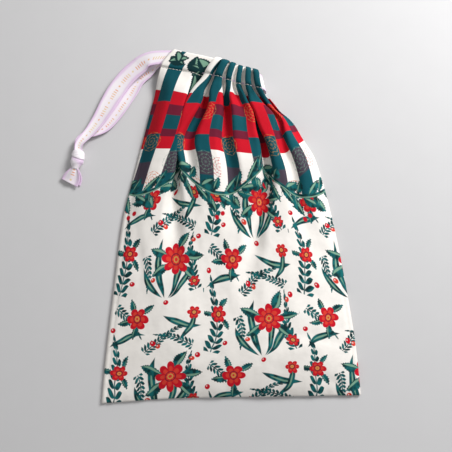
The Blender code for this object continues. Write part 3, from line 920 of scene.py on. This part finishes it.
def satin():
    """Soft satin ribbon: white, with painted lilac shade towards its edges, and small gold marks along its
    middle.
    """
    material, tree, shader = new_material("satin_ribbon", 0.45, 0.2)
    shader.inputs["Sheen Tint"].default_value = (1.0, 0.9, 0.97, 1.0)
    along, aside, vector = read_uv(tree)
    tint = noise_value(tree, vector, 22.0, 1.0)
    white = (0.93, 0.88, 0.91)
    colour = paint((0.88, 0.80, 0.87), white, tint.do("MULTIPLY_ADD", 2.4, -0.7, clamp=True))
    # Painted shade: lilac towards the ribbon's edges, and on the knot through its UVs, patchy with the
    # tint noise
    out = (aside.abs() + (tint - 0.5) * 3.0 - 4.4).do("MULTIPLY", 0.6, clamp=True)
    colour = paint((0.74, 0.52, 0.76), colour, out * 0.75)
    worn = noise_value(tree, vector, 14.0, 1.0)
    group = along.wrap(17.0)
    bar = (group.wrap(2.1) - 1.05).abs() - 0.42
    tall = noise_value(tree, vector, 1.6, 0.0) * 1.6 + 0.7
    bar = bar.most(aside.abs() - tall).most(group - 10.6)
    dot = length_of(group - 13.8, aside) - 0.85
    marks = bar.inside(0.5).most(dot.inside(0.5))
    gold = paint((0.78, 0.24, 0.03), (0.80, 0.62, 0.24), (worn - 0.40).do("MULTIPLY", 5.0, clamp=True))
    colour = paint(gold, colour, marks * 0.8)
    tree.links.new(colour, shader.inputs["Base Color"])
    fine = (along * (2.0 * math.pi / 0.6)).do("SINE") * 0.25
    selvedge = (aside.abs() - 6.6).inside(0.5) * -0.6
    add_bump(tree, shader, fine + selvedge + noise_value(tree, vector, 4.0, 2.0), 0.25, 0.0004)
    return material


def thread_material():
    material, tree, shader = new_material("sewing_thread", 0.6, 0.3)
    place = tree.nodes.new("ShaderNodeTexCoord")
    twist = tree.nodes.new("ShaderNodeTexWave")
    twist.inputs["Scale"].default_value = 1800.0
    tree.links.new(place.outputs["Object"], twist.inputs["Vector"])
    # Painted shade: the thread is darker in the twist's grooves, where the bump is low
    colour = paint((0.90, 0.89, 0.84), (0.74, 0.74, 0.68), Socket(tree, twist.outputs["Fac"]))
    tree.links.new(colour, shader.inputs["Base Color"])
    add_bump(tree, shader, Socket(tree, twist.outputs["Fac"]), 0.4, 0.0001)
    return material


# Cloth


def make_cloth(name, surface, columns, step, materials):
    """One cloth from the edge of its flap, over the turned top, down to the bottom seam."""
    across = np.linspace(0.0, CLOTH_WIDTH, columns)
    fold = TURNED_EDGE * (1.0 - np.cos(np.linspace(0.0, 1.0, 6) * np.pi / 2.0))
    tunnel = np.linspace(TURNED_EDGE, TUNNEL_DEPTH - TUNNEL_CLEARANCE, 9)[1:]
    stitched = np.linspace(TUNNEL_DEPTH - TUNNEL_CLEARANCE, TUNNEL_DEPTH + 2.0, 9)[1:]
    rest = CLOTH_HEIGHT - TUNNEL_DEPTH - 2.0
    shares = np.linspace(0.0, 1.0, int(rest / step) + 1)[1:]
    body = TUNNEL_DEPTH + 2.0 + rest * (0.8 * shares + 0.2 * shares**2)
    body[-4:-1] = (CLOTH_HEIGHT - 1.3, CLOTH_HEIGHT - 0.6, CLOTH_HEIGHT - 0.15)
    flap = np.concatenate([fold, tunnel])
    sheets = [(flap[::-1][:-1], True), (np.concatenate([flap, stitched, body]), False)]
    points, uvs = [], []
    for down, on_flap in sheets:
        x, y, z = np.broadcast_arrays(*surface(across, down, on_flap))
        points.append(np.stack([x, y, z], axis=-1).reshape(-1, 3))
        up = CLOTH_HEIGHT + (down if on_flap else -down)
        places = np.stack(np.meshgrid(across, up), axis=-1)
        uvs.append(places.reshape(-1, 2) * MM)
    points, uvs = np.concatenate(points), np.concatenate(uvs)
    rows = len(points) // columns
    first = (np.arange(rows - 1)[:, None] * columns + np.arange(columns - 1)).ravel()
    faces = np.stack([first, first + columns, first + columns + 1, first + 1], axis=-1)
    cloth = make_object(name, points.tolist(), faces.tolist(), materials, uvs)
    solid = cloth.modifiers.new("Thickness", "SOLIDIFY")
    solid.thickness = CLOTH_THICKNESS * MM
    solid.offset = 0.0
    solid.use_rim = True
    solid.material_offset = 1
    return cloth


def make_stitches(name, surface, material, lift):
    """The row of stitches that closes the tunnel, each a short raised thread."""
    points, faces = [], []
    starts = np.arange(1.2, CLOTH_WIDTH - STITCH, STITCH_STEP)
    shares = np.linspace(0.0, 1.0, 6)
    for start in starts:
        across = start + STITCH * shares
        x, y, z = (value[0] for value in surface(across, np.array([TUNNEL_DEPTH])))
        line = [Vector(point) for point in zip(x, y, z)]
        for place, middle in enumerate(line):
            way = (line[min(place + 1, 5)] - line[max(place - 1, 0)]).normalized()
            aside = Vector((0.0, 1.0, 0.0)).cross(way).normalized()
            if aside.z * lift < 0.0:
                aside = -aside
            arch = math.sin(math.pi * shares[place])
            middle = middle + aside * (CLOTH_THICKNESS / 2.0 - 0.08 + 0.3 * arch)
            size = THREAD * (0.55 + 0.45 * min(arch * 2.0, 1.0))
            upward = way.cross(aside)
            for corner in range(6):
                angle = corner * math.pi / 3.0
                points.append(middle + (aside * math.sin(angle) + upward * math.cos(angle)) * size)
        base = len(points) - 36
        for ring in range(5):
            for corner in range(6):
                other = (corner + 1) % 6
                a, b = base + ring * 6 + corner, base + ring * 6 + other
                faces.append([a, b, b + 6, a + 6])
        faces.append([base + corner for corner in range(5, -1, -1)])
        faces.append([base + 30 + corner for corner in range(6)])
    return make_object(name, points, faces, [material])


# Ribbon


def smooth_route(points, steps):
    route = []
    last = len(points) - 1
    for place in range(last):
        before, start = points[max(place - 1, 0)], points[place]
        end, after = points[place + 1], points[min(place + 2, last)]
        for step in range(steps):
            way = step / steps
            cubic = 3.0 * (start - end) + after - before
            square = 2.0 * before - 5.0 * start + 4.0 * end - after
            route.append(start + 0.5 * way * (end - before + way * (square + way * cubic)))
    return route + [points[-1]]


def make_ribbon(name, stations, material, cup=None, start=0.0):
    """A thin band through stations of (middle, half width). cup gives the rise of its edges."""
    lanes = 10
    points, uvs = [], []
    travelled = start
    for place, (middle, half_width) in enumerate(stations):
        before = stations[max(place - 1, 0)][0]
        after = stations[min(place + 1, len(stations) - 1)][0]
        if place:
            travelled += (middle - before).length
        up = half_width.cross(after - before).normalized()
        share = place / (len(stations) - 1)
        for lane in range(lanes + 1):
            side = 2.0 * lane / lanes - 1.0
            rise = cup(share, side) if cup else 0.0
            points.append(middle + half_width * side + up * rise)
            uvs.append((travelled * MM, side * RIBBON_WIDTH / 2.0 * MM))
    faces = []
    for place in range(len(stations) - 1):
        for lane in range(lanes):
            first = place * (lanes + 1) + lane
            faces.append([first, first + lanes + 1, first + lanes + 2, first + 1])
    band = make_object(name, points, faces, [material], uvs)
    solid = band.modifiers.new("Thickness", "SOLIDIFY")
    solid.thickness = RIBBON_THICKNESS * MM
    solid.offset = 0.0
    return band


def plan_point(share, down):
    x, y = plan(np.array(share), np.array(down))
    return Vector((float(x), float(y), 0.0))


def ribbon_station(gather, level):
    ends = []
    for down in (TUNNEL_CLEARANCE, TUNNEL_CLEARANCE + RIBBON_WIDTH):
        ends.append(plan_point(0.0, down).lerp(plan_point(1.0, down), gather))
    middle = (ends[0] + ends[1]) / 2.0
    middle.z = level
    return middle, (ends[0] - ends[1]) / 2.0


def casing_stations():
    run = list(np.linspace(0.0, 1.0, 40))
    run[0] = -0.03
    stations = []
    for share in run:
        drop = float(low_end(max(share, 0.0) * GATHERED_LENGTH))
        stations.append(ribbon_station(share, FRONT_RIBBON - drop))
    heading = (stations[-1][0] - stations[-2][0]).normalized()
    middle, half_width = ribbon_station(1.0, (FRONT_RIBBON + BACK_RIBBON) / 2.0)
    reach = (FRONT_RIBBON - BACK_RIBBON) / 2.0
    for step in range(1, 20):
        angle = math.pi * step / 20.0
        bend = heading * (RIBBON_TURN * math.sin(angle)) + Vector((0.0, 0.0, reach * math.cos(angle)))
        stations.append((middle + bend, half_width))
    stations += [ribbon_station(share, BACK_RIBBON) for share in reversed(run)]
    return stations


def neck_lift(level):
    return Vector((0.0, 0.0, level * 0.7))


def strand_stations(first, second, bends, level):
    away = (first[0] - second[0]).normalized()
    start = first[0] + away * 0.1
    end = KNOT_TOP + neck_lift(level)
    neck = [end - KNOT_HEADING * NECK_RUN, end + KNOT_HEADING * 1.0]
    route = smooth_route([start] + [Vector(bend) for bend in bends] + neck, 14)
    stations = []
    for place, middle in enumerate(route):
        heading = route[min(place + 1, len(route) - 1)] - route[max(place - 1, 0)]
        share = place / (len(route) - 1)
        flat = Vector((-heading.y, heading.x, 0.0)).normalized()
        flat *= -mix(RIBBON_WIDTH, NECK_WIDTH, float(ease((share - 0.45) / 0.55))) / 2.0
        stations.append((middle, first[1].lerp(flat, float(ease(share / 0.2)))))
    return stations


def fold_back(line):
    """The back strand as it lies: narrower, its far edge tucked under the front strand."""
    drawn = []
    for place, (middle, half_width) in enumerate(line):
        share = place / (len(line) - 1)
        tucked = float(ease(share / 0.25))
        aside = half_width.normalized()
        if aside.y < 0.0:
            aside = -aside
        shift = tucked * 4.2 * (1.0 - float(ease((share - 0.8) / 0.2)))
        narrow = mix(1.0, 0.66, tucked * (1.0 - float(ease((share - 0.7) / 0.3))))
        drawn.append((middle + aside * shift, half_width * narrow))
    return drawn


def make_knot(name, material):
    """The knot: a collar of ribbon wrapped slantwise over a soft bulge, down to a narrow waist."""
    side = Vector((0.0, 0.0, 1.0)).cross(KNOT_HEADING).normalized()
    up = KNOT_HEADING.cross(side)
    rings, sides = 64, 64
    points, uvs = [], []
    for ring in range(rings + 1):
        share = ring / rings
        close = math.sqrt(max(1.0 - (1.0 - min(share / 0.16, 1.0)) ** 2, 0.0))
        close *= math.sqrt(max(1.0 - max((share - 0.97) / 0.03, 0.0) ** 2, 0.0))
        body = KNOT_HALF_WIDTH + 1.3 * float(ease(share / 0.5))
        body -= 2.2 * float(ease((share - 0.62) / 0.38))
        for step in range(sides):
            angle = 2.0 * math.pi * step / sides
            collar = share - 0.40 - 0.11 * math.cos(angle - 0.9)
            over = 1.0 / (1.0 + math.exp(min(max(collar / 0.014, -40.0), 40.0)))
            second = share - 0.80 + 0.10 * math.cos(angle - 0.4)
            under = 1.0 / (1.0 + math.exp(min(max(second / 0.016, -40.0), 40.0)))
            crease = math.exp(-(((collar - 0.035) / 0.022) ** 2)) * 0.35
            place = Vector((share * 4.0, math.cos(angle) * 1.3, math.sin(angle) * 1.3))
            crumple = 0.35 * noise.noise(place)
            ripple = 0.10 * math.sin(share * 46.0 + 5.0 * math.cos(angle)) * over
            size = close * (body + 0.62 * over + 0.42 * under - crease + crumple + ripple)
            centre = KNOT_TOP + KNOT_HEADING * (KNOT_LENGTH * share)
            centre = centre + side * (0.7 * math.sin(math.pi * share)) + Vector(KNOT_SHIFT)
            point = centre + side * (size * math.cos(angle))
            point = point + up * (KNOT_FLATNESS * size * math.sin(angle))
            point.z = max(point.z, 0.25)
            points.append(point)
            # UV across the band, set so that the satin's painted lilac shade falls on the knot below the
            # collar
            aside_for_painted_shade = 4.6 + 2.6 * math.sin(angle * 0.5 + share * 3.0) * (1.0 - over)
            uvs.append((share * 17.0 * MM, aside_for_painted_shade * MM))
    faces = []
    for ring in range(rings):
        for step in range(sides):
            other = (step + 1) % sides
            first = ring * sides
            faces.append([first + step, first + other, first + sides + other, first + sides + step])
    knot = make_object(name, points, faces, [material], uvs)
    return knot


def tail_stations(angle_start, angle_end, length, low, level):
    start = KNOT_TOP + Vector(KNOT_SHIFT) + KNOT_HEADING * (KNOT_LENGTH - 1.4) + neck_lift(level)
    top = start.z
    stations = []
    steps = 24
    for step in range(steps + 1):
        share = step / steps
        angle = mix(angle_start, angle_end, share)
        way = Vector((math.sin(angle), -math.cos(angle), 0.0))
        start = start + way * (length / steps if step else 0.0)
        width = mix(NECK_WIDTH * 0.75, RIBBON_WIDTH, math.sin(min(share * 1.25, 1.0) * math.pi / 2.0))
        middle = Vector((start.x, start.y, mix(top, low, float(ease(share)))))
        stations.append((middle, Vector((-way.y, way.x, 0.0)) * -width / 2.0))
    return stations


def dress():
    cotton = cotton_print()
    inside = cotton_wrong_side()
    ribbon = satin()
    thread = thread_material()
    front = make_cloth("front_cloth", front_surface, 241, 1.5, [cotton, inside])
    back = make_cloth("back_cloth", back_surface, 161, 2.2, [cotton, inside])
    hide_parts("front_panel")
    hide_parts("back_panel")
    front_thread = make_stitches("front_stitches", front_surface, thread, 1.0)
    back_thread = make_stitches("back_stitches", back_surface, thread, -1.0)

    stations = casing_stations()
    inside_ribbon = make_ribbon("ribbon_in_tunnel", stations, ribbon)
    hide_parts("ribbon_in_casing")
    knot = make_knot("knot", ribbon)
    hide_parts("ribbon_knot")

    def tail_cup(share, side):
        pinched = 0.9 * math.sin(side * 5.2 + 0.8) * (1.0 - 0.45 * share)
        return min(share * 6.0, 1.0) * (pinched * 0.7 + 0.35 * share * math.sin(side * 2.4 + 0.6))

    line = tail_stations(-0.22, -0.48, 13.5, 2.6, 1)
    tail_front = make_ribbon("tail_front", line, ribbon, tail_cup, 20.0)
    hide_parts("ribbon_tail_front")
    line = tail_stations(-0.12, -0.36, 12.6, 1.0, -1)
    tail_back = make_ribbon("tail_back", line, ribbon, tail_cup, 25.0)
    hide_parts("ribbon_tail_back")

    def strand_cup(share, side):
        fade = min(share * 5.0, 1.0)
        return fade * (0.9 * abs(side) ** 2 + 0.8 * share * side * math.sin(7.0 * share))

    front_line = strand_stations(stations[0], stations[1], FRONT_STRAND, 1)
    back_line = strand_stations(stations[-1], stations[-2], BACK_STRAND, -1)
    pieces = (
        ("strand_front", "ribbon_strand_front", front_line, front_line, [knot, tail_front]),
        ("strand_back", "ribbon_strand_back", back_line, fold_back(back_line), [tail_back]),
    )
    for name, node, line, drawn, others in pieces:
        shifted = []
        for place, (middle, half_width) in enumerate(drawn):
            near_knot = float(ease((place / len(drawn) - 0.75) / 0.25))
            shifted.append((middle + Vector(KNOT_SHIFT) * near_knot, half_width))
        band = make_ribbon(name, shifted, ribbon, strand_cup)
        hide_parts(node)
        path = [tuple((middle + SHIFT) * MM) for middle, _ in line]
        length = sum((b[0] - a[0]).length for a, b in zip(line, line[1:])) * MM


def make_floor():
    material, tree, shader = new_material("pale_floor", 0.7)
    place = tree.nodes.new("ShaderNodeTexCoord")
    grain = noise_value(tree, place.outputs["Object"], 0.02, 2.0)
    colour = paint((0.62, 0.615, 0.62), (0.60, 0.595, 0.60), grain)
    tree.links.new(colour, shader.inputs["Base Color"])
    mesh = bpy.data.meshes.new("floor")
    half = FLOOR_HALF
    corners = [(-half, -half, 0), (half, -half, 0), (half, half, 0), (-half, half, 0)]
    mesh.from_pydata(corners, [], [[0, 1, 2, 3]])
    mesh.materials.append(material)
    floor = bpy.data.objects.new("floor", mesh)
    bpy.context.scene.collection.objects.link(floor)


def make_lights():
    world = bpy.data.worlds.new("studio")
    world.use_nodes = True
    world.node_tree.nodes["Background"].inputs[0].default_value = (1.0, 1.0, 1.0, 1.0)
    world.node_tree.nodes["Background"].inputs[1].default_value = WORLD_STRENGTH
    bpy.context.scene.world = world
    for name, place, size, power in LAMPS:
        light = bpy.data.lights.new(name, "AREA")
        light.size = size
        light.energy = power
        item = bpy.data.objects.new(name, light)
        item.location = place
        item.rotation_euler = (-Vector(place)).to_track_quat("-Z", "Y").to_euler()
        bpy.context.scene.collection.objects.link(item)


def make_camera():
    """Nearly straight down, from the bottom seam's side."""
    camera = bpy.data.cameras.new("camera")
    camera.sensor_width = 36.0
    camera.lens = CAMERA_LENS
    item = bpy.data.objects.new("camera", camera)
    tilt = math.radians(CAMERA_TILT)
    away = Vector((0.0, -math.sin(tilt), math.cos(tilt))) * CAMERA_DISTANCE
    item.location = Vector(CAMERA_TARGET) + away
    item.rotation_euler = (tilt, 0.0, 0.0)
    bpy.context.scene.collection.objects.link(item)
    bpy.context.scene.camera = item
    bpy.context.scene.view_settings.view_transform = "Standard"


dress()
make_floor()
make_lights()
make_camera()
